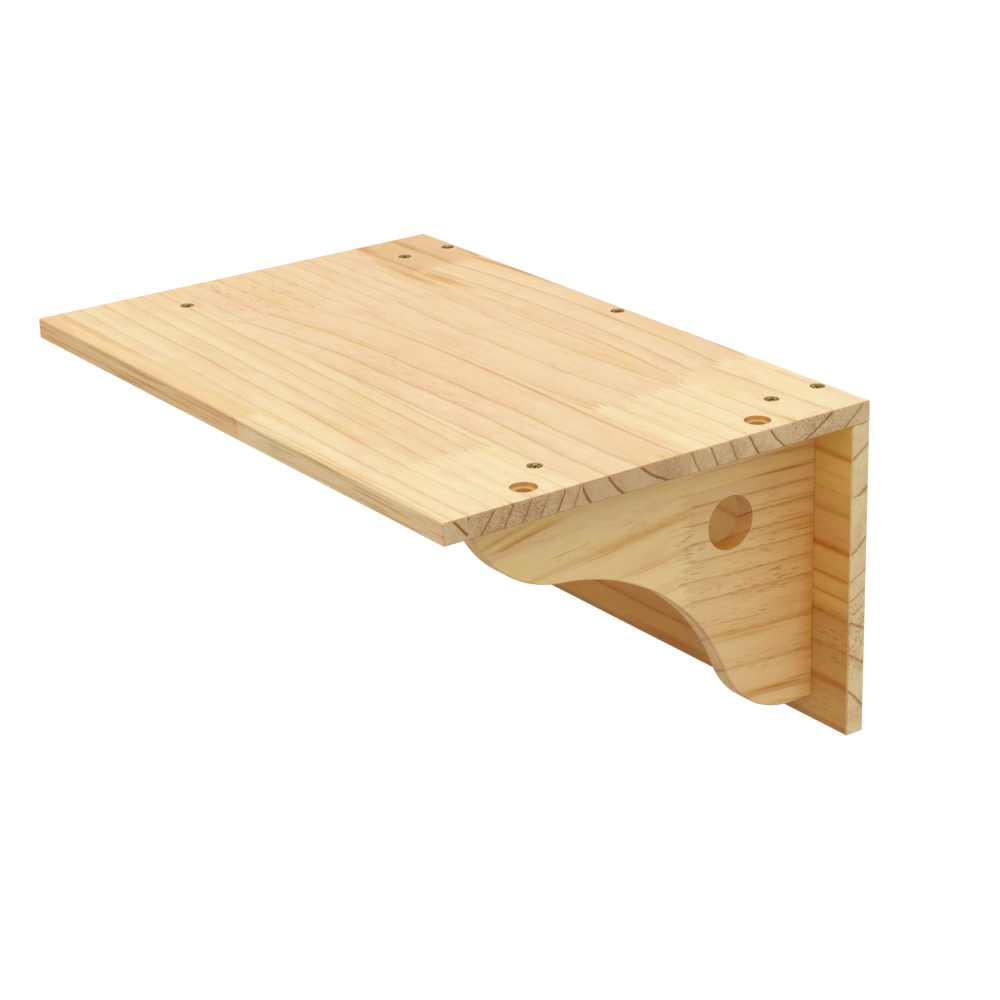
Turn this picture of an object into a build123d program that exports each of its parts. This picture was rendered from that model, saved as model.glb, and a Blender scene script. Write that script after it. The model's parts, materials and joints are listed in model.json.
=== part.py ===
from build123d import *
import os

# Wall shelf for a cat: a pine top board on a pine back panel, carried by two brackets with
# an ogee lower edge and screwed together with countersunk wood screws.
# Lengths are millimetres. +X runs along the shelf, +Z is up, and the wall is the plane y = 0,
# with the shelf standing out from it towards -Y. The origin is the middle of the back panel's
# wall face. Left and right are as seen from the room, facing the wall.

# Boards
shelf_width = 380.0
shelf_depth = 250.0
top_thickness = 11.0
panel_height = 165.0
panel_thickness = 11.0
edge_ease = 0.6

# Brackets: the reach is from the back panel to the tip, and the inset is from the shelf's end
bracket_thickness = 11.0
bracket_inset = 26.5
bracket_reach = 210.0
bracket_height = 152.0

# Ogee edge of a bracket: a flat foot, then three arcs that meet at two knots
foot_flat = 13.0
foot_knot_reach_share = 0.27
foot_knot_height_share = 0.195
lobe_knot_reach_share = 0.741
lobe_knot_height_share = 0.682

# Round hole through each bracket
bracket_hole_diameter = 28.0
bracket_hole_from_panel = 54.0
bracket_hole_below_top = 44.0

# Countersunk wood screws, all of one size, with a cross recess
screw_length = 30.0
screw_shank_diameter = 3.5
screw_head_diameter = 7.2
screw_point_length = 5.0
screw_sink = 0.3
screw_clearance = 0.1
recess_span = 4.2
recess_width = 1.1
recess_depth = 1.1

# The small screws and their holes are turned with this many flats in place of rounds
turning_sides = 24

# Where the screws stand
front_screw_from_tip = 44.0
rear_screw_from_panel = 24.0
back_screw_below_points = 20.0
back_screw_above_foot = 30.0

# Two stepped bolt holes in the overhang outside the right bracket
bolt_hole_diameter = 7.5
bolt_seat_diameter = 13.0
bolt_seat_depth = 2.0
front_bolt_from_edge = 53.0
rear_bolt_from_wall = 60.0

# Four countersunk holes in the back panel for the screws into the wall
wall_hole_diameter = 5.0
wall_hole_head_diameter = 10.0
wall_hole_sink_angle = 90.0
wall_hole_from_bracket = 42.5
wall_hole_from_edge = 35.0

# How far a cut runs past the face that it opens
overrun = 1.0

# Places worked out from the sizes above
half_width = shelf_width / 2
panel_top = panel_height / 2
shelf_top = panel_top + top_thickness
bracket_x = half_width - bracket_inset - bracket_thickness / 2
bracket_bottom = panel_top - bracket_height
shank_radius = screw_shank_diameter / 2
head_radius = screw_head_diameter / 2
head_height = head_radius - shank_radius


def eased(board):
    """A board with its sharp edges sanded off."""
    return chamfer(board.edges(), edge_ease)


def turned(*rings):
    """A turning about Z with straight sides between rings, each a radius and a height."""
    blocks = []
    for pair in zip(rings, rings[1:]):
        corners = []
        for radius, height in pair:
            centre = Vector(0, 0, height)
            around = PolarLocations(radius, turning_sides) if radius > 0 else [Location()]
            corners += [centre + spot.position for spot in around]
        blocks.append(ConvexPolyhedron(corners))
    return blocks[0] + blocks[1:]


def screw():
    """A wood screw that points down, with the face of its head at z = 0."""
    blank = turned(
        (head_radius, 0),
        (shank_radius, -head_height),
        (shank_radius, screw_point_length - screw_length),
        (0, -screw_length),
    )
    cross = Rectangle(recess_span, recess_width) + Rectangle(recess_width, recess_span)
    return blank - extrude(cross, amount=-recess_depth)


def screw_hole():
    """The hole of a sunk screw, with a cone for its head that opens above z = 0."""
    mouth = head_radius + screw_clearance + screw_sink + overrun
    narrow = shank_radius + screw_clearance
    return turned(
        (mouth, overrun),
        (narrow, -screw_sink - head_height),
        (narrow, -screw_sink - screw_length - screw_clearance),
    )


def bracket_outline():
    """A bracket seen from the side: x is the distance out from the panel, y is up."""
    foot_end = Vector(foot_flat, 0)
    foot_knot = Vector(foot_knot_reach_share * bracket_reach, foot_knot_height_share * bracket_height)
    lobe_knot = Vector(lobe_knot_reach_share * bracket_reach, lobe_knot_height_share * bracket_height)
    tip = Vector(bracket_reach, bracket_height)
    foot = Line((0, 0), foot_end)
    foot_arc = TangentArc(foot_end, foot_knot, tangent=foot % 1)
    scoop_arc = TangentArc(foot_knot, lobe_knot, tangent=foot_arc % 1)
    lobe_arc = TangentArc(lobe_knot, tip, tangent=scoop_arc % 1)
    top = Line(tip, (0, bracket_height))
    back = Line((0, bracket_height), (0, 0))
    return make_face([foot, foot_arc, scoop_arc, lobe_arc, top, back])


def place_top_screws():
    """Names and places of the screws that go down through the top board."""
    over_panel = -panel_thickness / 2
    rear = -panel_thickness - rear_screw_from_panel
    front = -panel_thickness - bracket_reach + front_screw_from_tip
    return {
        "panel_screw_left": Pos(-bracket_x, over_panel, shelf_top),
        "panel_screw_middle": Pos(0, over_panel, shelf_top),
        "panel_screw_right": Pos(bracket_x, over_panel, shelf_top),
        "left_bracket_rear_screw": Pos(-bracket_x, rear, shelf_top),
        "left_bracket_front_screw": Pos(-bracket_x, front, shelf_top),
        "right_bracket_rear_screw": Pos(bracket_x, rear, shelf_top),
        "right_bracket_front_screw": Pos(bracket_x, front, shelf_top),
    }


def place_back_screws():
    """Names and places of the hidden screws from the wall side into the brackets' rear ends."""
    upper = shelf_top - screw_sink - screw_length - back_screw_below_points
    lower = bracket_bottom + back_screw_above_foot
    into_bracket = Rot(-90, 0, 0)
    return {
        f"{side}_bracket_back_screw_{level}": Pos(x, 0, height) * into_bracket
        for side, x in (("left", -bracket_x), ("right", bracket_x))
        for level, height in (("upper", upper), ("lower", lower))
    }


screw_places = {**place_top_screws(), **place_back_screws()}
screw_holes = [place * screw_hole() for place in screw_places.values()]


def make_top_board():
    """The board that the cat lies on, flush with the wall face of the back panel."""
    middle = Pos(0, -shelf_depth / 2, shelf_top - top_thickness / 2)
    board = eased(middle * Box(shelf_width, shelf_depth, top_thickness))
    bolt_x = half_width - bracket_inset / 2
    bolt_hole = CounterBoreHole(
        radius=bolt_hole_diameter / 2,
        counter_bore_radius=bolt_seat_diameter / 2,
        counter_bore_depth=bolt_seat_depth,
        depth=top_thickness + overrun,
    )
    bolt_holes = [
        Pos(bolt_x, front_bolt_from_edge - shelf_depth, shelf_top) * bolt_hole,
        Pos(bolt_x, -rear_bolt_from_wall, shelf_top) * bolt_hole,
    ]
    return board - bolt_holes - screw_holes


def make_back_panel():
    """The upright board against the wall, under the top board."""
    middle = Pos(0, -panel_thickness / 2, 0)
    board = eased(middle * Box(shelf_width, panel_thickness, panel_height))
    hole_x = bracket_x - bracket_thickness / 2 - wall_hole_from_bracket
    hole_z = panel_top - wall_hole_from_edge
    wall_hole = Rot(90, 0, 0) * CounterSinkHole(
        radius=wall_hole_diameter / 2,
        counter_sink_radius=wall_hole_head_diameter / 2,
        depth=panel_thickness + overrun,
        counter_sink_angle=wall_hole_sink_angle,
    )
    wall_holes = [
        Pos(x, -panel_thickness, z) * wall_hole for x in (-hole_x, hole_x) for z in (-hole_z, hole_z)
    ]
    return board - wall_holes - screw_holes


def make_bracket(x):
    """One ogee bracket, centred on x, under the top board and in front of the back panel."""
    outer_face = Plane(
        origin=(x + bracket_thickness / 2, -panel_thickness, bracket_bottom),
        x_dir=(0, -1, 0),
        z_dir=(-1, 0, 0),
    )
    board = eased(extrude(outer_face * bracket_outline(), amount=bracket_thickness))
    hole_centre = Pos(bracket_hole_from_panel, bracket_height - bracket_hole_below_top)
    hole_disc = outer_face * hole_centre * Circle(bracket_hole_diameter / 2)
    return board - extrude(hole_disc, amount=bracket_thickness) - screw_holes


pieces = {
    "top_board": make_top_board(),
    "back_panel": make_back_panel(),
    "left_bracket": make_bracket(-bracket_x),
    "right_bracket": make_bracket(bracket_x),
}
for name, place in screw_places.items():
    pieces[name] = place * Pos(0, 0, -screw_sink) * screw()

os.makedirs("parts", exist_ok=True)
for name, piece in pieces.items():
    export_step(piece, f"parts/{name}.step")
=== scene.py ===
import itertools
import json
import math
from collections import namedtuple

import bmesh
import bpy
from mathutils import Matrix, Vector


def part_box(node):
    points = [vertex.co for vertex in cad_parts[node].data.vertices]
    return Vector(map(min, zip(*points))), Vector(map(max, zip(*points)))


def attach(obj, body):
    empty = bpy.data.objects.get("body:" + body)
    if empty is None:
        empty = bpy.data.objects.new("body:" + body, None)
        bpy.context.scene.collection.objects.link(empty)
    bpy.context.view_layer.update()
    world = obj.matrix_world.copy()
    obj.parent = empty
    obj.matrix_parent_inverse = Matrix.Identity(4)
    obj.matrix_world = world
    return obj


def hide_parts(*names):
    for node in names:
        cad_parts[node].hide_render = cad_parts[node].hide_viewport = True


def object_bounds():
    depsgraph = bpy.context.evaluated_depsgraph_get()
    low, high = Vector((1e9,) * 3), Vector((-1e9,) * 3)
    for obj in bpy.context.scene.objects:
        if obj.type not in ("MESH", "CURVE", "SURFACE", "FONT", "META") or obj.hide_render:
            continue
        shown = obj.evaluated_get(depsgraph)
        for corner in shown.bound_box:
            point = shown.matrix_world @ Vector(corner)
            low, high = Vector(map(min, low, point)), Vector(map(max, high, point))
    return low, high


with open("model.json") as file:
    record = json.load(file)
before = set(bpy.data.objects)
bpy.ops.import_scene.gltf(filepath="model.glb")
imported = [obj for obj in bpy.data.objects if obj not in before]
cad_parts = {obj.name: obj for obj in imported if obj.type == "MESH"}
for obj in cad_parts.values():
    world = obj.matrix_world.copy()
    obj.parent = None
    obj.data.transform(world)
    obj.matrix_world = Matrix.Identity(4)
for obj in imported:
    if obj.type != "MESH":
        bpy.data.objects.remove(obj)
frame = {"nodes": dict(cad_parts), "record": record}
cad_low, cad_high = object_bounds()

# Wall shelf for a cat, in glued-up pine with bronze screws. +X runs along the shelf, +Z is up, and
# the shelf stands out from the wall plane y = 0 towards -Y. Lengths are metres, except inside the
# wood and the screws, whose sizes are millimetres.
MM = 0.001

# Camera: where it stands, how it is turned, and its lens
CAMERA_PLACE = (1.11695, -0.87450, 0.54381)
CAMERA_AZIMUTH = math.radians(54.749)
CAMERA_ELEVATION = math.radians(21.485)
CAMERA_ROLL = math.radians(-1.546)
CAMERA_LENS = 100.44
CAMERA_SENSOR = 36.0
CAMERA_NEAREST = 0.01
CAMERA_FARTHEST = 200.0

# Light: a soft lamp from above and an even sky
LAMP_STRENGTH = 1.72
LAMP_COLOUR = (0.90, 0.94, 1.0)
LAMP_SPREAD = math.radians(70)
LAMP_FROM = (0.50, -0.25, 1.0)
SKY_STRENGTH = 0.54
SKY_COLOUR = (1.0, 0.965, 0.90, 1.0)
WHITE = (1.0, 1.0, 1.0, 1.0)

# Floor: a pale plane well below the shelf, whose own glow brings it up to white
FLOOR_BELOW = 0.9
FLOOR_SIZE = 60.0
FLOOR_COLOUR = (0.55, 0.55, 0.55, 1.0)
FLOOR_GLOW = 0.52


class Wire:
    """A number or vector inside a node tree, which ordinary arithmetic joins to others."""

    def __init__(self, graph, socket):
        self.graph = graph
        self.socket = socket

    def __add__(self, other):
        return self.graph.math("ADD", self, other)

    def __sub__(self, other):
        return self.graph.math("SUBTRACT", self, other)

    def __rsub__(self, other):
        return self.graph.math("SUBTRACT", other, self)

    def __mul__(self, other):
        return self.graph.math("MULTIPLY", self, other)

    def __truediv__(self, other):
        return self.graph.math("DIVIDE", self, other)

    def __abs__(self):
        return self.graph.math("ABSOLUTE", self)

    __radd__ = __add__
    __rmul__ = __mul__


class Graph:
    """Builds one node tree. Every input may be a plain value or a Wire."""

    def __init__(self, tree):
        self.tree = tree
        self.tree.nodes.clear()

    def node(self, kind, inputs=None, **settings):
        made = self.tree.nodes.new(kind)
        for name, value in settings.items():
            setattr(made, name, value)
        for key, value in (inputs or {}).items():
            self.feed(made.inputs[key], value)
        return made

    def feed(self, socket, value):
        if isinstance(value, Wire):
            value = value.socket
        if isinstance(value, bpy.types.NodeSocket):
            self.tree.links.new(value, socket)
        else:
            socket.default_value = value

    def math(self, operation, *values):
        made = self.node("ShaderNodeMath", operation=operation)
        for socket, value in zip(made.inputs, values):
            self.feed(socket, value)
        return Wire(self, made.outputs[0])

    def most(self, first, *others):
        for other in others:
            first = self.math("MAXIMUM", first, other)
        return first

    def least(self, first, *others):
        for other in others:
            first = self.math("MINIMUM", first, other)
        return first

    def smooth(self, value, start, end, low=0.0, high=1.0):
        """Runs smoothly from low at start to high at end, and stays there beyond them."""
        made = self.node(
            "ShaderNodeMapRange",
            {"Value": value, "From Min": start, "From Max": end, "To Min": low, "To Max": high},
            interpolation_type="SMOOTHSTEP",
        )
        return Wire(self, made.outputs[0])

    def near(self, distance, full, gone):
        """1 up to the distance full, and fading to 0 at gone."""
        return self.smooth(distance, full, gone, 1.0, 0.0)

    def vector(self, x, y, z):
        return Wire(self, self.node("ShaderNodeCombineXYZ", {0: x, 1: y, 2: z}).outputs[0])

    def split(self, vector):
        made = self.node("ShaderNodeSeparateXYZ", {0: vector})
        return [Wire(self, socket) for socket in made.outputs]

    def dot(self, first, second):
        made = self.node("ShaderNodeVectorMath", {0: first, 1: second}, operation="DOT_PRODUCT")
        return Wire(self, made.outputs["Value"])

    def length(self, *sides):
        total = sides[0] * sides[0]
        for side in sides[1:]:
            total = total + side * side
        return self.math("SQRT", total)

    # A Mix node takes vectors at its inputs 4 and 5 and colours at 6 and 7, and gives them at its
    # outputs 1 and 2.

    def choose(self, mask, low, high):
        """The vector low where mask is 0, and high where it is 1."""
        made = self.node("ShaderNodeMix", {"Factor": mask, 4: low, 5: high}, data_type="VECTOR")
        return Wire(self, made.outputs[1])

    def blend(self, share, low, high):
        """The colour low where share is 0, and high where it is 1."""
        made = self.node("ShaderNodeMix", {"Factor": share, 6: low, 7: high}, data_type="RGBA")
        return Wire(self, made.outputs[2])

    def dye(self, share, base, stain):
        """The colour base, multiplied by the colour stain where share is 1."""
        inputs = {"Factor": share, 6: base, 7: stain}
        made = self.node("ShaderNodeMix", inputs, data_type="RGBA", blend_type="MULTIPLY")
        return Wire(self, made.outputs[2])

    def noise(self, x, y, z, detail=2.0):
        """Soft noise between 0 and 1, about 0.5, whose lumps are about 1 wide."""
        inputs = {"Vector": self.vector(x, y, z), "Scale": 1.0, "Detail": detail}
        return Wire(self, self.node("ShaderNodeTexNoise", inputs).outputs["Fac"])

    def specks(self, x, y, z):
        """The distance to the nearest of many scattered points, about one for each unit cube."""
        made = self.node("ShaderNodeTexVoronoi", {"Vector": self.vector(x, y, z), "Scale": 1.0})
        return Wire(self, made.outputs["Distance"])

    def random(self, value):
        made = self.node("ShaderNodeTexWhiteNoise", {"W": value}, noise_dimensions="1D")
        return Wire(self, made.outputs["Value"])


def colour(red, green, blue):
    """A colour written as it looks on screen, 0 to 255, as the linear values that nodes take."""
    shares = [c / 255 for c in (red, green, blue)]
    linear = [s / 12.92 if s <= 0.04045 else ((s + 0.055) / 1.055) ** 2.4 for s in shares]
    return (*linear, 1.0)


def new_material(name):
    material = bpy.data.materials.new(name)
    material.use_nodes = True
    return material, Graph(material.node_tree)


# How far a bump lifts a surface, in millimetres, and how strongly it shows
Relief = namedtuple("Relief", "height strength")


def finish_material(graph, shader, height, relief):
    """Gives a shader its relief, and makes it the surface of the material."""
    inputs = {"Height": height, "Strength": relief.strength, "Distance": relief.height * MM}
    bump = graph.node("ShaderNodeBump", inputs)
    graph.feed(shader.inputs["Normal"], bump.outputs[0])
    graph.node("ShaderNodeOutputMaterial", {"Surface": shader.outputs[0]})


# Pine. A board is glued up from staves that lie side by side, and a stave from blocks that meet end
# to end in finger joints. Places in a board are along the grain, across it, and up through its
# thickness, in millimetres.
#
# In a block the rings are circles round a pith, whose place is given across and up. One of them
# meets the show face at the place mark, the next follow at the spacing, and they draw together by
# the share crowd for each millimetre outwards. Bow bends the grain along the block, by millimetres
# for the first, second and third power of 100 mm from the middle. Vivid is how dark the lines are,
# and dull is how much browner the sawn end is than others.
Block = namedtuple("Block", "pith mark spacing crowd bow tint vivid dull", defaults=(0.6, 0.0))
# A stave reaches across the board up to the place edge. Its joints part its blocks.
Stave = namedtuple("Stave", "edge joints blocks")
# A patch is long and soft and follows the grain: its middle, half length, half width and strength
Patch = namedtuple("Patch", "along across reach width strength")
# Holes of one radius at some spots, each along and across, with the colour of their walls and how
# pale the wood is round them
Holes = namedtuple("Holes", "radius spots wall rim")
# A board's axes are those that run along, across and up in it, and show is where its show face is.
# Stains, lines and ducts are patches. Some of the stains and lines are painted shade: they darken
# the brackets by the wall panel and the panel near its foot. Line dyes the ring lines on its faces,
# end is the colour of its sawn ends, and end_line dyes the ring lines there. Fade is how far the
# tints of two blocks run into each other at a finger joint.
Board = namedtuple("Board", "axes show staves stains lines ducts holes line end end_line fade")

# A place in a board, or how far a face looks each way
Spot = namedtuple("Spot", "along across up")
# The facts of the block at a point
Found = namedtuple("Found", "pith_across pith_up mark spacing crowd vivid bow tint seed dull")
# The rings at a point: its part of the way from one to the next, the ring's own chance, the spot
# with the bend of the grain taken out, and its distances out from the pith and round it
Rings = namedtuple("Rings", "part chance bent radius around")
# The wood on a face along the grain: its colour, how dark the ring lines and the ducts are, the
# noise of its fibres, and how rich in ducts it is
Grain = namedtuple("Grain", "wood line duct fibre rich")

# The two distances at which a mask is full and gone
Fade = namedtuple("Fade", "full gone")
# A line of late wood ends each ring. Its sides are parts of the way from one ring to the next, and
# the weakest line has this share of the strongest one's darkness.
LateWood = namedtuple("LateWood", "start full fading gone weakest")
# A veil is a tint that a noise lays over the wood: where it starts, where it is full, and how
# strongly it dyes there. With start above full, it comes where the noise is low.
Veil = namedtuple("Veil", "start full strength dye")
# A kind of resin duct: the length and width of one's surroundings, the shares of these at which it
# is full and gone, and its darkness
Duct = namedtuple("Duct", "size full gone strength")

CREAM = colour(251, 231, 188)
STRAW = colour(249, 225, 182)
ROSE = colour(248, 220, 180)
BUFF = colour(247, 218, 177)
PLAIN = colour(248, 218, 168)
TAN = colour(236, 200, 154)
WHEAT = colour(250, 220, 160)
HONEY = colour(239, 205, 147)
AMBER = colour(233, 184, 100)
OCHRE = colour(226, 176, 95)
UMBER = colour(224, 169, 92)
BISCUIT = colour(248, 214, 150)
CORN = colour(240, 198, 108)
MAIZE = colour(238, 190, 112)
APRICOT = colour(234, 184, 106)
GINGER = colour(218, 158, 80)
HAZEL = colour(209, 157, 84)
# These two tints are partly painted shade: they darken the panel's narrow bottom stave for the
# shade along its lower edge.
CARAMEL_AND_SHADE = colour(206, 148, 78)
TOFFEE_AND_SHADE = colour(196, 136, 66)

SOFT_LINE = colour(233, 216, 189)
BOLD_LINE = colour(228, 186, 116)
BROWN_LINE = colour(216, 182, 118)
RUST = colour(184, 130, 100)
PALE_RUST = colour(207, 168, 140)
TOP_END = colour(224, 198, 153)
PANEL_END = colour(240, 219, 171)
BRACKET_END = colour(250, 220, 166)
DULL_END = colour(245, 238, 236)
# This colour dyes real stains and also the patches of painted shade.
STAIN_AND_SHADE = colour(234, 202, 134)
RESIN = colour(204, 166, 124)
GLUE = colour(180, 140, 100)
BURNT = colour(222, 182, 104)
# This colour is painted shade: it darkens and reddens the wall of the bracket's bore, standing in
# for the shade inside it.
PAINTED_BORE_SHADE = colour(234, 194, 132)
# This colour is painted shade: it darkens the walls of the screw holes, standing in for the shade
# in them.
PAINTED_HOLE_SHADE = colour(214, 190, 160)
WORN = colour(226, 190, 142)
WORN_RIM = colour(255, 240, 208)
# This tint is painted shade: it makes the boards' milled side faces warmer and darker, standing in
# for their shade.
PAINTED_EDGE_SHADE = colour(255, 247, 238)

# Each block has its own seed, this much beyond the last one's
FIRST_SEED = 3.7
SEED_STEP = 7.31

FINGER_PITCH = 3.8
FINGER_LENGTH = 8.0
JOINT_GLUE = Fade(0.04, 0.2)
STAVE_GLUE = Fade(0.03, 0.13)
GLUE_SHARE = 0.2

# The grain wanders and ripples: the length and width of each lump, and how far it moves the rings
WANDER_SIZE = (80, 24)
WANDER_ACROSS = 5
WANDER_UP = 3
RIPPLE_SIZE = (13, 5)
RIPPLE_ACROSS = 0.6
# Bows count along a block by 100 mm
PER_BOW_UNIT = 0.01
# Rings are counted from here, so that their numbers stay above 0
FIRST_RING = 1000
# The distance round the pith is taken at this radius
AROUND_RADIUS = 60

# Faces along the grain: the length and width of the lumps in each noise
FIBRE_SIZE = (18, 0.35)
STREAK_SIZE = (90, 2.6)
BLOTCH_SIZE = (30, 9)
BROAD_SIZE = (120, 26)
FACE_LINE = LateWood(0.76, 0.95, 0.97, 1.0, 0.55)
RAGGED = 0.08
HAZE_START = 0.3
HAZE_FULL = 0.9
HAZE_SHARE = 0.2
ROSY_BLOTCHES = Veil(0.5, 0.7, 0.7, colour(253, 241, 238))
LEMON_BLOTCHES = Veil(0.48, 0.3, 0.8, colour(252, 250, 230))
BROAD_SHADE = Veil(0.45, 0.7, 0.5, colour(250, 238, 226))
STREAKS = Veil(0.5, 0.8, 0.4, colour(244, 228, 208))
FIBRES = Veil(0.5, 0.8, 0.35, colour(240, 226, 208))
# A patch is gone at this many half sizes. Drawn lines and stains, painted shade among them, have
# these least strengths, and gain the others in a streak.
PATCH_END = 1.25
LINE_LEAST = 0.65
LINE_GAIN = 0.7
STAIN_AND_SHADE_LEAST = 0.55
STAIN_AND_SHADE_GAIN = 0.9

LONG_DUCT = Duct((13, 1.3), 0.12, 0.3, 1.0)
SHORT_DUCT = Duct((6, 1.0), 0.08, 0.24, 0.7)
STRAY_DUCTS = 0.04
HAIR_START = 0.6
HAIR_FULL = 0.74
HAIR_SHARE = 0.7

# Sawn ends: sizes out from the pith and round it, and how deep all of these go
PORE_SIZE = (0.5, 0.35)
RAY_SIZE = (2.0, 0.5)
FINE_RING_SIZE = (0.45, 1.8)
PORE_DEPTH = 3
CLOUD_SIZE = 9
CLOUD_DEPTH = 20
END_LINE = LateWood(0.86, 0.93, 0.965, 0.99, 0.6)
END_CLOUDS = Veil(0.42, 0.7, 1.0, colour(250, 240, 230))
END_HAZE = Veil(0.3, 0.95, 0.3, colour(238, 222, 208))
PORES = Veil(0.5, 0.64, 0.4, colour(214, 186, 162))
RAYS = Veil(0.5, 0.6, 0.5, colour(206, 178, 150))
FINE_RINGS = Veil(0.5, 0.6, 0.25, colour(214, 184, 158))
RICH_PORES = 0.75
STRAY_RAYS = 0.24
# The lines soften to this share as the cut goes from square to slanted
SQUARE_CUT = 1.0
SLANTED_CUT = 0.8
SLANTED_SHARE = 0.15

# What a face is, by how far it looks along or up
EDGE_FACE = Fade(0.5, 0.9)
SIDE_FACE = Fade(0.9, 0.97)
END_FACE_START = 0.45
END_FACE_FULL = 0.7
EASED_FACE = 0.7
EASED_FADE = Fade(0.1, 0.25)
WORN_SHARE = 0.3

# Milled edges: the length and width of the cutter's marks
CUTTER_SIZE = (60, 0.9)
CUTTER_MARKS = Veil(0.5, 0.64, 0.6, colour(200, 164, 118))

# Holes: their walls are coloured up to this far outside the radius, less where they cut end grain.
# So are their ledges, down to some depth under the show face. The rim at the mouth is worn pale.
WALL_SKIN = Fade(0.02, 0.12)
END_WALL_LOSS = 0.25
BORED_END_LOSS = 0.45
LEDGE_DEPTH = Fade(5.0, 6.0)
LEDGE_SHARE = 0.8
RIM_START = 0.05
RIM_FULL = 0.15
RIM_REACH = Fade(0.3, 1.0)
RIM_DEPTH = Fade(0.1, 0.5)

# Gloss and relief of the wood: what each mark adds to its roughness or takes from it, and how far
# each rises or sinks
WOOD_ROUGHNESS = 0.62
LINE_SMOOTHER = 0.08
FIBRE_ROUGHER = 0.06
END_ROUGHER = 0.15
WOOD_SPECULAR = 0.3
LINE_RISE = 0.5
DUCT_SINK = 0.6
FIBRE_RISE = 0.5
GLUE_SINK = 0.5
WOOD_RELIEF = Relief(0.1, 0.35)

PANEL_FACE = -11.0
BRACKET_FACE = 163.5
STRAIGHT = (0, 0, 0)


def hole_spots(name):
    """Where the holes of one mount are, by their coordinates across its axis, in millimetres."""
    mount = next(row for row in frame["record"]["mounts"] if row["name"] == name)
    first, second = [place / MM for place, turn in zip(mount["pos_m"], mount["axis"]) if not turn]
    x = mount["dims"].get("spacing_x_mm", 0) / 2
    y = mount["dims"].get("spacing_y_mm", 0) / 2
    return sorted({(first + across, second + up) for across in (-x, x) for up in (-y, y)})


def screw_spots(axis):
    """Where the screws along an axis stand, by their two other coordinates, in millimetres."""
    spots = []
    for name in frame["nodes"]:
        low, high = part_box(name)
        size = high - low
        if "screw" in name and max(size) == size[axis]:
            middle = (low + high) / 2 / MM
            spots.append(tuple(middle[i] for i in range(3) if i != axis))
    return spots


BORE = Holes(radius=14.0, spots=hole_spots("right_bracket_hole"), wall=PAINTED_BORE_SHADE, rim=0.12)

top_plan = Board(
    axes="xyz",
    show=cad_high.z / MM,
    staves=[
        Stave(-237, [15], [
            Block((-190, 125), -241, 9, 0, STRAIGHT, PLAIN, 0.5),
            Block((-205, 122), -246, 12, 0, STRAIGHT, CREAM, 0.5),
        ]),
        Stave(-174, [122], [
            Block((-290, 125), -217, 12, 0.004, (-3.7, -0.3, 0), STRAW, 0.8),
            Block((-298, 137), -222, 10.2, 0.004, STRAIGHT, CREAM, 0.5, 1.0),
        ]),
        Stave(-111.5, [-114], [
            Block((-60, 150), -141, 11, 0, STRAIGHT, BUFF, 0.5),
            Block((-113, 116), -141, 14.5, 0, (2.2, -5.1, 1.9), ROSE, 0.8, 1.0),
        ]),
        Stave(-50, [-88, 113], [
            Block((20, 110), -83, 10.2, 0, STRAIGHT, BUFF, 0.6),
            Block((0, 118), -66, 23, 0, (0, 4.5, 0), BUFF, 0.6),
            Block((-6, 131), -77, 11.5, 0.003, STRAIGHT, CREAM, 0.6),
        ]),
        Stave(10, [-130, 100], [
            Block((20, 130), -24, 20, 0, STRAIGHT, TAN, 0.9),
            Block((-120, 130), -31, 16, 0, (-0.5, -4.5, 0), BUFF, 0.9),
            Block((-103, 195), -30, 12.5, 0, (4, 0, 0), CREAM, 0.7),
        ]),
    ],
    stains=[
        Patch(-108, -44, 30, 5, 0.9),
        Patch(-45, -46, 60, 3, 0.4),
        Patch(60, -46, 60, 2, 0.5),
        Patch(-125, -54, 38, 3.6, 0.8),
        Patch(-175, -24, 30, 3, 0.5),
        Patch(-90, -2, 75, 2.5, 0.75),
        Patch(55, -219, 45, 4, 0.45),
        Patch(-186, -44, 16, 4, 0.7),
        Patch(190, -47, 14, 1.6, 0.9),
        Patch(-150, -238, 70, 3, 0.4),
        Patch(110, -248.2, 110, 1.1, 0.9),
        Patch(60, -204, 30, 3, 0.3),
    ],
    lines=[
        Patch(60, -115.6, 210, 1.5, 1.0),
        Patch(-165, -23, 40, 1.4, 0.7),
        Patch(-190, -47, 22, 1.4, 0.6),
        Patch(190, -48.5, 20, 1.0, 0.8),
        Patch(-110, -2.5, 50, 1.6, 0.7),
        Patch(-150, -213, 60, 1.2, 0.4),
    ],
    ducts=[
        Patch(-150, -140, 60, 40, 0.8),
        Patch(20, -150, 160, 26, 0.4),
        Patch(0, -80, 300, 60, 0.2),
        Patch(190, -33, 10, 24, 1.0),
        Patch(190, -124, 10, 13, 1.0),
        Patch(190, -212, 10, 34, 0.9),
        Patch(190, -85, 10, 24, 0.4),
    ],
    holes=[
        Holes(radius=4.0, spots=screw_spots(axis=2), wall=PAINTED_HOLE_SHADE, rim=0.6),
        Holes(radius=6.5, spots=hole_spots("link_bolt_seats"), wall=BURNT, rim=0.4),
    ],
    line=SOFT_LINE,
    end=TOP_END,
    end_line=RUST,
    fade=2.5,
)
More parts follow.
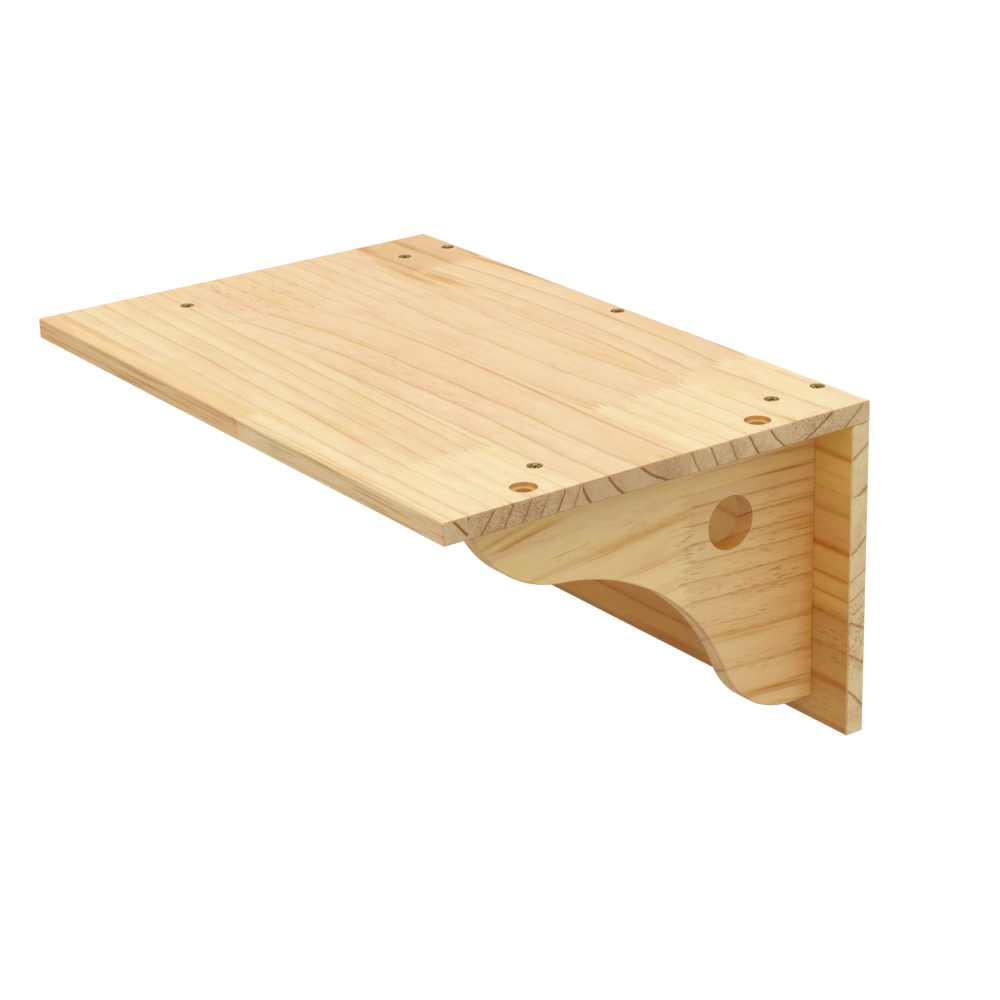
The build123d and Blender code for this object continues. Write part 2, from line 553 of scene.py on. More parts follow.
# The panel's tints are darker and more orange than the other boards': partly the panel's own golden
# tone, partly painted shade for the shade it stands in under the top board and between the
# brackets.
panel_plan = Board(
    axes="xzy",
    show=PANEL_FACE,
    staves=[
        # Painted shade: this narrow bottom stave has the darkest tints, for the shade along the
        # panel's lower edge.
        Stave(-79.5, [-60], [
            Block((-110, 60), -84, 13, 0, STRAIGHT, CARAMEL_AND_SHADE),
            Block((-130, -60), -84, 13, 0, STRAIGHT, TOFFEE_AND_SHADE),
        ]),
        Stave(-17, [-95, 70], [
            Block((60, -70), -48, 12, 0, STRAIGHT, UMBER, 0.8),
            Block((40, -80), -66, 17, 0, STRAIGHT, GINGER, 0.9),
            Block((-105, -48), -56, 16, 0, STRAIGHT, HAZEL, 0.8),
        ]),
        Stave(45.5, [-20, 120], [
            Block((90, -50), 20, 12, 0, STRAIGHT, UMBER, 0.8),
            Block((100, -60), 14, 19, 0, (-6, 0, 0), APRICOT, 0.8),
            Block((74, -47), 0, 10.5, 0.0137, STRAIGHT, OCHRE, 0.9),
        ]),
        Stave(90, [-140, 50], [
            Block((10, -90), 70, 15, 0, STRAIGHT, AMBER, 0.8),
            Block((150, -60), 60, 12, 0, STRAIGHT, MAIZE, 0.8),
            Block((120, -40), 64, 19, 0, STRAIGHT, CORN, 0.9),
        ]),
    ],
    stains=[
        Patch(180, 64, 40, 1.8, 1.0),
        Patch(180, 35, 50, 2.4, 0.8),
        Patch(170, 15.5, 40, 3.0, 0.9),
        Patch(175, 0, 40, 1.6, 0.8),
        Patch(175, -10, 40, 1.2, 0.5),
        Patch(180, -56, 60, 2.0, 1.0),
        Patch(-60, 20, 80, 5, 0.5),
        # Painted shade: this patch darkens the panel's front near its foot, where it lies in shade
        # between the brackets.
        Patch(55, -78, 45, 3, 1.0),
    ],
    lines=[
        Patch(178, 54.5, 30, 0.7, 0.5),
        Patch(180, -15.5, 30, 0.6, 0.5),
        # Painted shade: a dark line along the panel's lower edge, for the shadow there.
        Patch(0, -82.8, 500, 1.5, 1.3),
    ],
    ducts=[
        Patch(175, -35, 60, 24, 1.0),
        Patch(190, -25, 12, 16, 0.9),
        Patch(176, -70, 40, 10, 0.8),
        Patch(0, 0, 300, 120, 0.3),
    ],
    holes=[Holes(radius=5.0, spots=hole_spots("wall_screw_holes"), wall=PAINTED_HOLE_SHADE, rim=0.2)],
    line=BOLD_LINE,
    end=PANEL_END,
    end_line=PALE_RUST,
    fade=4.0,
)
right_plan = Board(
    axes="yzx",
    show=BRACKET_FACE,
    staves=[
        Stave(-66, [], [Block((-150, 120), -61, 9, 0, (-14, 0, 0), HONEY, 0.8)]),
        Stave(-4, [], [Block((60, 110), -26, 16.7, 0, (-8, 0, 0), HONEY, 0.6)]),
        Stave(59, [-91], [
            Block((170, 130), 57, 17, 0, (10, 0, 0), WHEAT, 0.4),
            Block((-80, 228), 49, 8.5, 0, (-5, 0, 0), HONEY, 0.75),
        ]),
        Stave(90, [-91], [
            Block((-60, 120), 100, 30, 0, (-30, -13.3, 0), WHEAT, 0.3),
            Block((-60, 120), 66, 9, 0, (-4, 0, 0), BISCUIT, 0.5),
        ]),
    ],
    stains=[
        Patch(-190, 62.3, 34, 2.2, 0.85),
        Patch(-203, 64.6, 26, 2.0, 0.65),
        Patch(-118, 47, 44, 4, 0.5),
        Patch(-28, -57.5, 40, 3.0, 0.8),
        Patch(-45, -24, 50, 2.4, 0.7),
        # Painted shade: these two patches darken the bracket near the wall panel, for the shade in
        # the corner between them.
        Patch(-8, 20, 62, 110, 0.75),
        Patch(-8, -10, 20, 110, 1.2),
    ],
    lines=[
        Patch(-190, 61.6, 30, 0.7, 0.6),
        Patch(-30, 57.8, 34, 1.0, 1.0),
        Patch(-28, 67, 30, 1.6, 0.9),
        Patch(-22, 49.6, 28, 1.2, 0.9),
        Patch(-30, 42.3, 30, 0.9, 0.5),
        Patch(-30, 26.5, 34, 1.0, 0.6),
        Patch(-18, 23.6, 10, 0.5, 0.9),
        Patch(-26, 32.7, 10, 0.5, 0.8),
        Patch(-166, 48.6, 12, 0.35, 0.9),
        Patch(-128, 54.2, 6, 0.4, 0.7),
        Patch(-121, 52, 7, 0.4, 0.7),
        Patch(-115, 27.7, 16, 0.4, 0.8),
        Patch(-145, 41.6, 26, 0.5, 0.6),
        Patch(-58, -14, 34, 0.4, 0.7),
        Patch(-28, 1.6, 8, 0.4, 0.8),
        Patch(-22, -1, 8, 0.5, 0.9),
        Patch(-35, -57.2, 30, 0.9, 1.0),
        Patch(-20, -56.2, 12, 0.7, 0.9),
    ],
    ducts=[
        Patch(-45, 5, 50, 16, 1.0),
        Patch(-60, -14, 46, 9, 0.9),
        Patch(-35, -40, 40, 7, 0.9),
        Patch(-92, 28, 14, 36, 0.9),
        Patch(-130, 50, 60, 10, 0.5),
        Patch(-40, 30, 40, 40, 0.6),
    ],
    holes=[BORE],
    line=BROWN_LINE,
    end=BRACKET_END,
    end_line=RUST,
    fade=9.0,
)
left_plan = Board(
    axes="yzx",
    show=-BRACKET_FACE,
    staves=[
        Stave(-30, [], [Block((80, -60), -50, 14, 0, (-8, 0, 0), HONEY, 0.8)]),
        Stave(32, [-118], [
            Block((150, -90), 10, 12, 0, (6, 0, 0), WHEAT, 0.6),
            Block((-90, -80), 4, 11, 0.004, (-5, 0, 0), HONEY, 0.9),
        ]),
        Stave(90, [-60], [
            Block((-40, -60), 60, 13, 0, (8, 0, 0), WHEAT, 0.6),
            Block((160, -100), 55, 10, 0, (-6, 0, 0), HONEY, 0.8),
        ]),
    ],
    stains=[
        Patch(-150, 55, 40, 4, 0.5),
        Patch(-40, -50, 30, 3, 0.6),
        # Painted shade: this patch darkens the bracket near the wall panel, for the shade in the
        # corner between them.
        Patch(-8, 0, 40, 130, 0.6),
    ],
    lines=[
        Patch(-60, 10, 40, 0.6, 0.8),
        Patch(-150, 62, 30, 0.5, 0.6),
        Patch(-30, -52, 30, 0.8, 0.8),
    ],
    ducts=[
        Patch(-60, 0, 60, 40, 0.8),
        Patch(-150, 50, 60, 20, 0.5),
    ],
    holes=[BORE],
    line=BROWN_LINE,
    end=BRACKET_END,
    end_line=RUST,
    fade=9.0,
)


def place_in_board(graph, plan):
    """Where each point is in the board, and how far its face looks each way."""
    place = graph.split(graph.node("ShaderNodeTexCoord").outputs["Object"])
    normal = graph.split(graph.node("ShaderNodeNewGeometry").outputs["Normal"])
    order = ["xyz".index(axis) for axis in plan.axes]
    spot = Spot(*[place[axis] * (1 / MM) for axis in order])
    facing = Spot(*[abs(normal[axis]) for axis in order])
    return spot, facing


def block_facts(block, seed):
    """The facts of a block as five vectors: shape, growth, bow, tint and trait."""
    return [
        (*block.pith, block.mark),
        (block.spacing, block.crowd, block.vivid),
        block.bow,
        block.tint[:3],
        (seed, block.dull, 0),
    ]


def fill_stave(graph, plan, stave, seeds, tooth):
    """The facts of the block at each point of a stave, and how near a finger joint the point is."""
    facts = [graph.vector(*fact) for fact in block_facts(stave.blocks[0], next(seeds))]
    flank = 2 * FINGER_LENGTH / FINGER_PITCH
    seam = 0.0
    for joint, block in zip(stave.joints, stave.blocks[1:]):
        past = graph.math("GREATER_THAN", tooth, joint)
        faded = graph.smooth(tooth, joint - plan.fade, joint + plan.fade)
        shares = [past, past, past, faded, past]
        rows = zip(shares, facts, block_facts(block, next(seeds)))
        facts = [graph.choose(*row) for row in rows]
        seam = graph.most(graph.near(abs(tooth - joint) / flank, *JOINT_GLUE), seam)
    return facts, seam


def find_block(graph, plan, spot):
    """The facts of the block at each point, and how near a glue line the point is."""
    finger = graph.math("PINGPONG", spot.across / FINGER_PITCH, 0.5) * (2 * FINGER_LENGTH)
    tooth = spot.along + finger - FINGER_LENGTH / 2
    seeds = itertools.count(FIRST_SEED, SEED_STEP)
    facts, glue = fill_stave(graph, plan, plan.staves[0], seeds, tooth)
    for last, stave in zip(plan.staves, plan.staves[1:]):
        values, seam = fill_stave(graph, plan, stave, seeds, tooth)
        inside = graph.math("GREATER_THAN", spot.across, last.edge)
        facts = [graph.choose(inside, low, high) for low, high in zip(facts, values)]
        apart = graph.most(glue * (1 - inside), inside * seam)
        glue = graph.most(apart, graph.near(abs(spot.across - last.edge), *STAVE_GLUE))
    shape, growth, bow, tint, trait = facts
    seed, dull, _ = graph.split(trait)
    return Found(*graph.split(shape), *graph.split(growth), bow, tint, seed, dull), glue


def bend(graph, bow, along):
    """How far the grain is bent aside at a place along the block."""
    first = along * PER_BOW_UNIT
    second = first * first
    return graph.dot(bow, graph.vector(first, second, second * first))


def stretch(size, seed, spot):
    """Coordinates in which lumps of a size, its length and width, are 1 wide each way. The block's
    seed shifts them along the grain."""
    length, width = size
    return spot.along / length + seed, spot.across / width, spot.up / width


def grow_rings(graph, plan, found, spot):
    """The rings at each point: circles round the block's pith, through its bent and wavy grain."""
    level = spot.across - bend(graph, found.bow, spot.along)
    wander = graph.noise(*stretch(WANDER_SIZE, found.seed, spot)) - 0.5
    ripple = graph.noise(*stretch(RIPPLE_SIZE, found.seed, spot), detail=1.0) - 0.5
    aside = level + wander * WANDER_ACROSS + ripple * RIPPLE_ACROSS - found.pith_across
    above = spot.up + wander * WANDER_UP - found.pith_up
    radius = graph.length(aside, above)
    mark_radius = graph.length(found.mark - found.pith_across, plan.show - found.pith_up)
    outward = radius - mark_radius
    turn = outward / found.spacing * (outward * found.crowd + 1) + FIRST_RING
    return Rings(
        part=graph.math("FRACT", turn),
        chance=graph.random(graph.math("FLOOR", turn) + found.seed),
        bent=Spot(spot.along, level, spot.up),
        radius=radius,
        around=graph.math("ARCTAN2", above, aside) * AROUND_RADIUS,
    )


def late_wood(graph, kind, rings, inner):
    """The dark line at the end of each ring. Inner is the part of the way for its inner side."""
    rise = graph.smooth(inner, kind.start, kind.full)
    line = rise * graph.near(rings.part, kind.fading, kind.gone)
    return line * (rings.chance * (1 - kind.weakest) + kind.weakest)


def lay_veil(graph, wood, veil, noise, share=1.0):
    """Dyes the wood with a veil, by a share of its strength."""
    thickness = graph.smooth(noise, veil.start, veil.full) * (veil.strength * share)
    return graph.dye(thickness, wood, veil.dye)


def spread(graph, patches, found, bent):
    """How strongly each point is covered by a board's patches."""
    total = 0.0
    for patch in patches:
        aside = bent.across - patch.across + bend(graph, found.bow, patch.along)
        off = graph.length((bent.along - patch.along) / patch.reach, aside / patch.width)
        total = graph.most(graph.near(off, 0.0, PATCH_END) * patch.strength, total)
    return total


def draw_ducts(graph, found, bent, fibre, rich):
    """Resin ducts: short thin dark strokes along the grain, and hairs where the wood is rich."""
    strokes = []
    for duct in (LONG_DUCT, SHORT_DUCT):
        distance = graph.specks(*stretch(duct.size, found.seed, bent))
        strokes.append(graph.near(distance, duct.full, duct.gone) * duct.strength)
    hairs = graph.smooth(fibre, HAIR_START, HAIR_FULL) * rich * HAIR_SHARE
    return graph.most(graph.most(*strokes) * (rich + STRAY_DUCTS), hairs)


def long_grain(graph, plan, found, rings):
    """Faces along the grain. A ring is pale, and darkens outwards to a thin line of late wood with
    a ragged inner side."""
    bent = rings.bent
    fibre = graph.noise(*stretch(FIBRE_SIZE, found.seed, bent))
    streak = graph.noise(*stretch(STREAK_SIZE, found.seed, bent))
    blotch = graph.noise(*stretch(BLOTCH_SIZE, found.seed, bent))
    broad = graph.noise(*stretch(BROAD_SIZE, found.seed, bent), detail=1.0)

    grown = late_wood(graph, FACE_LINE, rings, rings.part + (fibre - 0.5) * RAGGED) * found.vivid
    drawn = spread(graph, plan.lines, found, bent) * (streak * LINE_GAIN + LINE_LEAST)
    line = graph.most(grown, drawn)
    haze = graph.smooth(rings.part, HAZE_START, HAZE_FULL) * found.vivid * HAZE_SHARE
    wood = graph.dye(graph.most(line, haze), found.tint, plan.line)
    wood = lay_veil(graph, wood, ROSY_BLOTCHES, blotch)
    wood = lay_veil(graph, wood, LEMON_BLOTCHES, blotch)
    wood = lay_veil(graph, wood, BROAD_SHADE, broad)
    wood = lay_veil(graph, wood, STREAKS, streak)
    wood = lay_veil(graph, wood, FIBRES, fibre)
    # The stain patches include painted shade, which darkens the brackets by the wall panel and the
    # panel near its foot.
    stain = spread(graph, plan.stains, found, bent) * (streak * STAIN_AND_SHADE_GAIN + STAIN_AND_SHADE_LEAST)
    wood = graph.dye(stain, wood, STAIN_AND_SHADE)
    rich = spread(graph, plan.ducts, found, bent)
    duct = draw_ducts(graph, found, bent, fibre, rich)
    return Grain(graph.dye(duct, wood, RESIN), line, duct, fibre, rich)


def end_grain(graph, plan, found, spot, rings, rich, squareness):
    """The colour of sawn ends, with their pores: reddish ring lines, softer where the cut is
    slanted, and more pores and rays where the wood is rich."""
    noises = []
    for out, around in (PORE_SIZE, RAY_SIZE, FINE_RING_SIZE):
        outward = rings.radius / out + found.seed
        depth = spot.along / PORE_DEPTH
        noises.append(graph.noise(outward, rings.around / around, depth, detail=1.0))
    pore, ray, fine_ring = noises
    across = spot.across / CLOUD_SIZE + found.seed
    cloud = graph.noise(across, spot.up / CLOUD_SIZE, spot.along / CLOUD_DEPTH)
    square = graph.smooth(squareness, SLANTED_CUT, SQUARE_CUT, SLANTED_SHARE, 1.0)
    wood = graph.dye(found.dull, plan.end, DULL_END)
    wood = lay_veil(graph, wood, END_CLOUDS, cloud)
    wood = lay_veil(graph, wood, END_HAZE, rings.part)
    wood = lay_veil(graph, wood, PORES, pore, cloud + rich * RICH_PORES)
    wood = lay_veil(graph, wood, RAYS, ray, rich + STRAY_RAYS)
    wood = lay_veil(graph, wood, FINE_RINGS, fine_ring, rich + STRAY_RAYS)
    wood = graph.dye(late_wood(graph, END_LINE, rings, rings.part) * square, wood, plan.end_line)
    return wood, pore


def find_gaps(graph, plan, spot):
    """How far each point is outside the nearest hole of each size."""
    gaps = []
    for holes in plan.holes:
        reaches = [graph.length(spot.along - x, spot.across - y) for x, y in holes.spots]
        gaps.append(graph.least(*reaches) - holes.radius)
    return gaps


def colour_holes(graph, plan, wood, gaps, upright, facing, up):
    """Colours the walls and ledges of a board's holes, burnt in the bolt seats and darkened with
    painted shade in the screw holes and the bracket's bore, and wears a pale rim round each mouth.
    """
    depth = abs(up - plan.show)
    ledge = graph.near(depth, *LEDGE_DEPTH) * (1 - upright) * LEDGE_SHARE
    wall_burn_and_shade = (upright + ledge) * (1 - facing.along * END_WALL_LOSS)
    for holes, gap in zip(plan.holes, gaps):
        # Painted shade on the walls of the screw holes and the bore; real burn in the bolt seats.
        wood = graph.dye(graph.near(gap, *WALL_SKIN) * wall_burn_and_shade, wood, holes.wall)
        ring = graph.near(gap, *RIM_REACH) * graph.smooth(gap, RIM_START, RIM_FULL)
        rim = ring * graph.near(depth, *RIM_DEPTH)
        wood = graph.blend(rim * holes.rim, wood, WORN_RIM)
    return wood


def shade_and_mark_edges(graph, wood, spot, edge):
    """Warms the milled edges of a board with painted shade, a darker tone standing in for the shade
    on these side faces, and streaks them lengthwise with the cutter's marks.
    """
    length, width = CUTTER_SIZE
    mark = graph.noise(spot.up / width, spot.along / length, spot.across / length)
    wood = graph.dye(edge, wood, PAINTED_EDGE_SHADE)
    return lay_veil(graph, wood, CUTTER_MARKS, mark, edge)


def pine(name, plan):
    """The wood of one board: faces along the grain, sawn ends, milled edges tinted with painted
    shade, joints, and holes with burnt walls in the bolt seats and painted shade in the others.
    """
    material, graph = new_material(name)
    spot, facing = place_in_board(graph, plan)
    found, glue = find_block(graph, plan, spot)
    rings = grow_rings(graph, plan, found, spot)
    grain = long_grain(graph, plan, found, rings)
    cut, pore = end_grain(graph, plan, found, spot, rings, grain.rich, facing.along)

    gaps = find_gaps(graph, plan, spot)
    bored = graph.most(*[graph.near(gap, *WALL_SKIN) for gap in gaps])
    upright = graph.near(facing.up, *EDGE_FACE)
    milled_and_shaded = upright * graph.near(facing.along, *SIDE_FACE) * (1 - bored)
    end = graph.smooth(facing.along, END_FACE_START, END_FACE_FULL) * (1 - bored * BORED_END_LOSS)
    worn = graph.near(abs(facing.up - EASED_FACE), *EASED_FADE) * (1 - bored)
    wood = graph.blend(end, grain.wood, cut)
    # Painted shade: the milled side faces are tinted warmer and darker for their shade, and
    # streaked with cutter marks.
    wood = shade_and_mark_edges(graph, wood, spot, milled_and_shaded)
    wood = graph.dye(glue * GLUE_SHARE, wood, GLUE)
    wood = graph.dye(worn * WORN_SHARE, wood, WORN)
    wood = colour_holes(graph, plan, wood, gaps, upright, facing, spot.up)

    rougher = grain.fibre * FIBRE_ROUGHER + end * END_ROUGHER
    rough = WOOD_ROUGHNESS - grain.line * LINE_SMOOTHER + rougher
    inputs = {"Base Color": wood, "Roughness": rough, "Specular IOR Level": WOOD_SPECULAR}
    shader = graph.node("ShaderNodeBsdfPrincipled", inputs)
    ridges = grain.line * LINE_RISE - grain.duct * DUCT_SINK + (grain.fibre - 0.5) * FIBRE_RISE
    height = ridges * (1 - end) + (0.5 - pore) * end - glue * GLUE_SINK
    finish_material(graph, shader, height, WOOD_RELIEF)
    return material


# Screws, of the CAD screws' outer size. Depths run down from the face of the head. The profile's
# rings are each a radius and a depth.
SCREW_SIDES = 32
SCREW_LENGTH = 30.0
SCREW_PROFILE = [(3.44, 0.0), (3.53, 0.07), (1.3, 2.3), (1.3, 7.0), (1.15, 7.6), (1.15, 25.5)]
THREAD_START = 7.2
THREAD_RADIUS = 1.75
THREAD_ROOT = 1.1
THREAD_PITCH = 1.6
THREAD_STEPS = 16
THREAD_HALF_WIDTH = 0.42
# The share of its width that the thread narrows to at the point
THREAD_NARROWEST = 0.3
POINT_LENGTH = 5.0
RECESS_SPAN = 4.2
RECESS_WIDTH = 1.1
RECESS_CORNER = 0.3
RECESS_DEPTH = 1.25
# The shares of its span and width that the recess narrows to at its floor
RECESS_SPAN_TAPER = 0.55
RECESS_WIDTH_TAPER = 0.7
SHARP_ANGLE = math.radians(35)
# How much further each screw is turned than the one before
SCREW_TURN = math.radians(37)

OLIVE = colour(140, 108, 58)
BRASS = colour(208, 184, 128)
# This colour is partly painted highlight: pale scuffs brighten the screw heads.
SCUFF_HIGHLIGHT = colour(246, 232, 190)
# This colour is grime and painted shade: it darkens the screw head's recess and rim.
GRIME_AND_SHADE = colour(66, 40, 18)
BRONZE_SHEEN = colour(160, 130, 80)
METAL_CLOUD_SIZE = 1.6
METAL_GRAIN_SIZE = 0.12
BRASS_START = 0.4
BRASS_FULL = 0.6
# Scuffs are short scratches and pale painted highlights, where their own noise is high
SCUFF_LENGTH = 0.5
SCUFF_WIDTH = 0.09
SCUFF_SEED = 9
SCUFF_HIGHLIGHT_START = 0.55
SCUFF_HIGHLIGHT_FULL = 0.7
SCUFF_HIGHLIGHT_SHARE = 0.7
# Grime and painted shade lie below the face of the head, in its recess; painted shade for the
# countersink's shadow lies on its rim beyond a radius. Both are hardly metallic.
GRIME_AND_SHADE_HEIGHT = Fade(-0.5, -0.05)
RIM_SHADE_START = 3.0
RIM_SHADE_FULL = 3.5
RIM_SHADE_SHARE = 0.7
GRIME_AND_SHADE_DULLS = 0.9
METAL_ROUGHNESS = 0.2
CLOUD_ROUGHER = 0.3
GRAIN_ROUGHER = 0.1
METAL_RELIEF = Relief(0.02, 0.2)


def screw_point(angle, radius, depth):
    return Vector((radius * math.cos(angle), radius * math.sin(angle), -depth)) * MM


def join_rings(mesh, upper, lower):
    """A band of faces between two rings of as many corners, which look outwards."""
    for i in range(len(upper)):
        j = (i + 1) % len(upper)
        mesh.faces.new((upper[i], lower[i], lower[j], upper[j]))


def cross_ring(mesh, span, width, depth):
    """The corners of a cross with cut inner corners, at one depth."""
    half, arm = width / 2, span / 2
    inner = half + RECESS_CORNER
    quarter = [(arm, -half), (arm, half), (inner, half), (half, inner)]
    turns = [Matrix.Rotation(math.pi / 2 * k, 2) for k in range(4)]
    spots = [turn @ Vector(corner) for turn in turns for corner in quarter]
    return [mesh.verts.new((x * MM, y * MM, -depth * MM)) for x, y in spots]


def cut_thread(mesh):
    """A ridge that winds down the shank, and runs out at the head side and at the point."""
    turns = (SCREW_LENGTH - THREAD_START) / THREAD_PITCH
    last = None
    for i in range(int(turns * THREAD_STEPS) + 1):
        angle = 2 * math.pi * i / THREAD_STEPS
        depth = THREAD_START + i * THREAD_PITCH / THREAD_STEPS
        taper = min(1.0, (SCREW_LENGTH - depth) / POINT_LENGTH)
        grown = min(1.0, i / THREAD_STEPS)
        root = THREAD_ROOT * taper
        crest = root + (THREAD_RADIUS * taper - root) * grown
        half = THREAD_HALF_WIDTH * (THREAD_NARROWEST + (1 - THREAD_NARROWEST) * taper)
        spots = [(root, depth - half), (crest, depth), (root, depth + half)]
        row = [mesh.verts.new(screw_point(angle, *spot)) for spot in spots]
        if last:
            mesh.faces.new((last[0], last[1], row[1], row[0]))
            mesh.faces.new((last[1], last[2], row[2], row[1]))
        last = row


def cut_recess(mesh, rim):
    """Fills the head inside its rim, all but a cross that narrows down to a flat floor."""
    mouth = cross_ring(mesh, RECESS_SPAN, RECESS_WIDTH, 0)
    floor_span = RECESS_SPAN * RECESS_SPAN_TAPER
    floor = cross_ring(mesh, floor_span, RECESS_WIDTH * RECESS_WIDTH_TAPER, RECESS_DEPTH)
    edges = []
    for ring in (rim, mouth):
        for i, corner in enumerate(ring):
            ends = (ring[i - 1], corner)
            edges.append(mesh.edges.get(ends) or mesh.edges.new(ends))
    bmesh.ops.triangle_fill(mesh, edges=edges, use_beauty=True)
    join_rings(mesh, mouth[::-1], floor[::-1])
    mesh.faces.new(floor)


def screw_mesh():
    mesh = bmesh.new()
    angles = [2 * math.pi * k / SCREW_SIDES for k in range(SCREW_SIDES)]
    rings = [[mesh.verts.new(screw_point(a, *ring)) for a in angles] for ring in SCREW_PROFILE]
    for upper, lower in zip(rings, rings[1:]):
        join_rings(mesh, upper, lower)
    tip = mesh.verts.new((0, 0, -SCREW_LENGTH * MM))
    last = rings[-1]
    for i, corner in enumerate(last):
        mesh.faces.new((corner, tip, last[(i + 1) % SCREW_SIDES]))
    cut_recess(mesh, rings[0])
    cut_thread(mesh)
    for face in mesh.faces:
        face.smooth = True
    made = bpy.data.meshes.new("screw")
    mesh.to_mesh(made)
    mesh.free()
    made.set_sharp_from_angle(angle=SHARP_ANGLE)
    return made


def bronze(name):
    """Yellowed zinc on steel: olive to brass, with lighter scuffs that are partly painted
    highlights, a fine grain, grime and painted shade in the head's recess, and painted shade at its
    rim."""
    material, graph = new_material(name)
    place = [c / MM for c in graph.split(graph.node("ShaderNodeTexCoord").outputs["Object"])]
    x, y, z = place
    cloud = graph.noise(*[c / METAL_CLOUD_SIZE for c in place])
    grain = graph.noise(*[c / METAL_GRAIN_SIZE for c in place], detail=1.0)
    scuff_highlight_noise = graph.noise(x / SCUFF_LENGTH + SCUFF_SEED, y / SCUFF_WIDTH, z / SCUFF_LENGTH)
    metal = graph.blend(graph.smooth(cloud, BRASS_START, BRASS_FULL), OLIVE, BRASS)
    # Painted highlights: pale scuffs brighten the head where their noise is high, besides the real
    # scratches.
    scuffs_and_highlights = graph.smooth(scuff_highlight_noise, SCUFF_HIGHLIGHT_START, SCUFF_HIGHLIGHT_FULL) * SCUFF_HIGHLIGHT_SHARE
    metal = graph.blend(scuffs_and_highlights, metal, SCUFF_HIGHLIGHT)
    # Painted shade: the head darkens at its rim and in its recess, for the shadow there, with some
    # grime in the recess.
    rim = graph.smooth(graph.length(x, y), RIM_SHADE_START, RIM_SHADE_FULL)
    grime_and_shade = graph.most(graph.near(z, *GRIME_AND_SHADE_HEIGHT), rim * RIM_SHADE_SHARE)
    metal = graph.blend(grime_and_shade, metal, GRIME_AND_SHADE)
    inputs = {
        "Base Color": metal,
        "Metallic": 1 - grime_and_shade * GRIME_AND_SHADE_DULLS,
        "Roughness": cloud * CLOUD_ROUGHER + grain * GRAIN_ROUGHER + METAL_ROUGHNESS,
        "Specular Tint": BRONZE_SHEEN,
    }
    finish_material(graph, graph.node("ShaderNodeBsdfPrincipled", inputs), grain, METAL_RELIEF)
    return material


def drive_screws(mesh):
    """Puts a detailed screw in the place of each plain one."""
    names = sorted(name for name in frame["nodes"] if "screw" in name)
    for i, name in enumerate(names):
        low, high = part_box(name)
        middle = (low + high) / 2
        upright = high.z - low.z > high.y - low.y
        head = Vector((middle.x, middle.y, high.z) if upright else (middle.x, high.y, middle.z))
        lean = Matrix() if upright else Matrix.Rotation(-math.pi / 2, 4, "X")
        turn = Matrix.Rotation(i * SCREW_TURN, 4, "Z")
        piece = bpy.data.objects.new(f"{name}_threaded", mesh)
        piece.matrix_world = Matrix.Translation(head) @ lean @ turn
        bpy.context.scene.collection.objects.link(piece)
        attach(piece, "root")
        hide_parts(name)


plans = {
    "top_board": top_plan,
    "back_panel": panel_plan,
    "left_bracket": left_plan,
    "right_bracket": right_plan,
}
for name, plan in plans.items():
    board = frame["nodes"][name].data
    board.materials.clear()
    board.materials.append(pine(f"{name}_pine", plan))
screw = screw_mesh()
screw.materials.append(bronze("bronzed_zinc"))
drive_screws(screw)


def aim_camera():
    lens = bpy.data.cameras.new("photo_lens")
    lens.lens = CAMERA_LENS
    lens.sensor_width = CAMERA_SENSOR
    lens.clip_start = CAMERA_NEAREST
    lens.clip_end = CAMERA_FARTHEST
    camera = bpy.data.objects.new("photo_camera", lens)
    back = Vector((
        math.sin(CAMERA_AZIMUTH) * math.cos(CAMERA_ELEVATION),
        -math.cos(CAMERA_AZIMUTH) * math.cos(CAMERA_ELEVATION),
        math.sin(CAMERA_ELEVATION),
    ))
    level = back.to_track_quat("Z", "Y").to_matrix().to_4x4()
    roll = Matrix.Rotation(CAMERA_ROLL, 4, "Z")
    camera.matrix_world = Matrix.Translation(CAMERA_PLACE) @ level @ roll
    bpy.context.scene.collection.objects.link(camera)
    bpy.context.scene.camera = camera


def hang_lamp():
    lamp = bpy.data.lights.new("soft_lamp", "SUN")
    lamp.energy = LAMP_STRENGTH
    lamp.color = LAMP_COLOUR
    lamp.angle = LAMP_SPREAD
    holder = bpy.data.objects.new("soft_lamp", lamp)
    holder.rotation_euler = Vector(LAMP_FROM).to_track_quat("Z", "Y").to_euler()
    bpy.context.scene.collection.objects.link(holder)


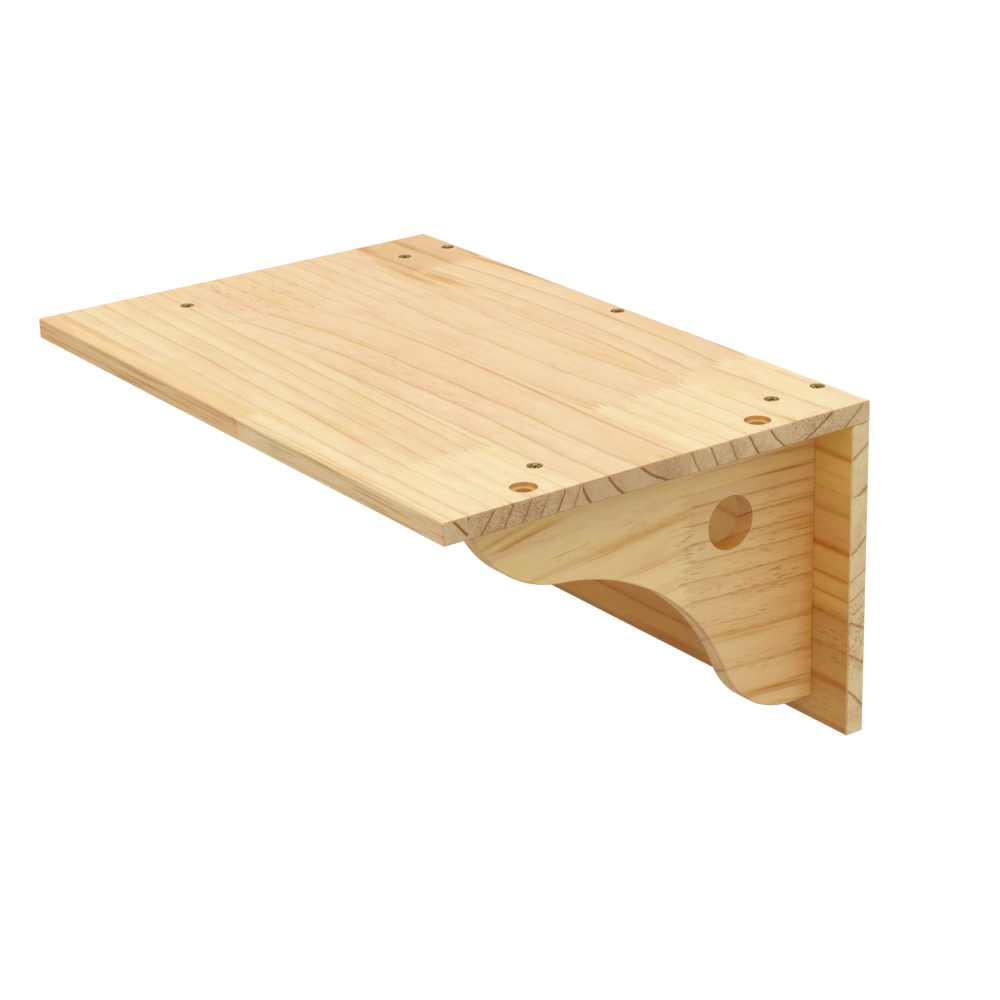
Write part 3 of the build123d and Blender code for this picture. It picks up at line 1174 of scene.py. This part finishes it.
def seen_directly(graph):
    """1 for camera, mirror and see-through rays, and 0 for the light that objects exchange."""
    path = graph.node("ShaderNodeLightPath").outputs
    kinds = ("Camera", "Glossy", "Transmission")
    return graph.most(*[Wire(graph, path[f"Is {kind} Ray"]) for kind in kinds])


def make_sky():
    world = bpy.data.worlds.new("plain_sky")
    bpy.context.scene.world = world
    world.use_nodes = True
    graph = Graph(world.node_tree)
    seen = seen_directly(graph)
    tint = graph.blend(seen, SKY_COLOUR, WHITE)
    strength = seen * (1 - SKY_STRENGTH) + SKY_STRENGTH
    sky = graph.node("ShaderNodeBackground", {"Color": tint, "Strength": strength})
    graph.node("ShaderNodeOutputWorld", {"Surface": sky.outputs[0]})


def glowing_cloth(name):
    """A pale material that glows where it is seen, and is see-through from below."""
    material, graph = new_material(name)
    glow_strength = seen_directly(graph) * FLOOR_GLOW
    cloth = graph.node("ShaderNodeBsdfDiffuse", {"Color": FLOOR_COLOUR})
    glow = graph.node("ShaderNodeEmission", {"Color": WHITE, "Strength": glow_strength})
    both = graph.node("ShaderNodeAddShader", {0: cloth.outputs[0], 1: glow.outputs[0]})
    clear = graph.node("ShaderNodeBsdfTransparent")
    under = graph.node("ShaderNodeNewGeometry").outputs["Backfacing"]
    sides = {0: under, 1: both.outputs[0], 2: clear.outputs[0]}
    one_sided = graph.node("ShaderNodeMixShader", sides)
    graph.node("ShaderNodeOutputMaterial", {"Surface": one_sided.outputs[0]})
    return material


def lay_floor():
    mesh = bpy.data.meshes.new("floor")
    half = FLOOR_SIZE / 2
    height = cad_low.z - FLOOR_BELOW
    corners = [(x * half, y * half, height) for x, y in ((-1, -1), (1, -1), (1, 1), (-1, 1))]
    mesh.from_pydata(corners, [], [(0, 1, 2, 3)])
    mesh.materials.append(glowing_cloth("pale_floor"))
    floor = bpy.data.objects.new("floor", mesh)
    bpy.context.scene.collection.objects.link(floor)


aim_camera()
hang_lamp()
make_sky()
lay_floor()
bpy.context.scene.view_settings.view_transform = "Standard"
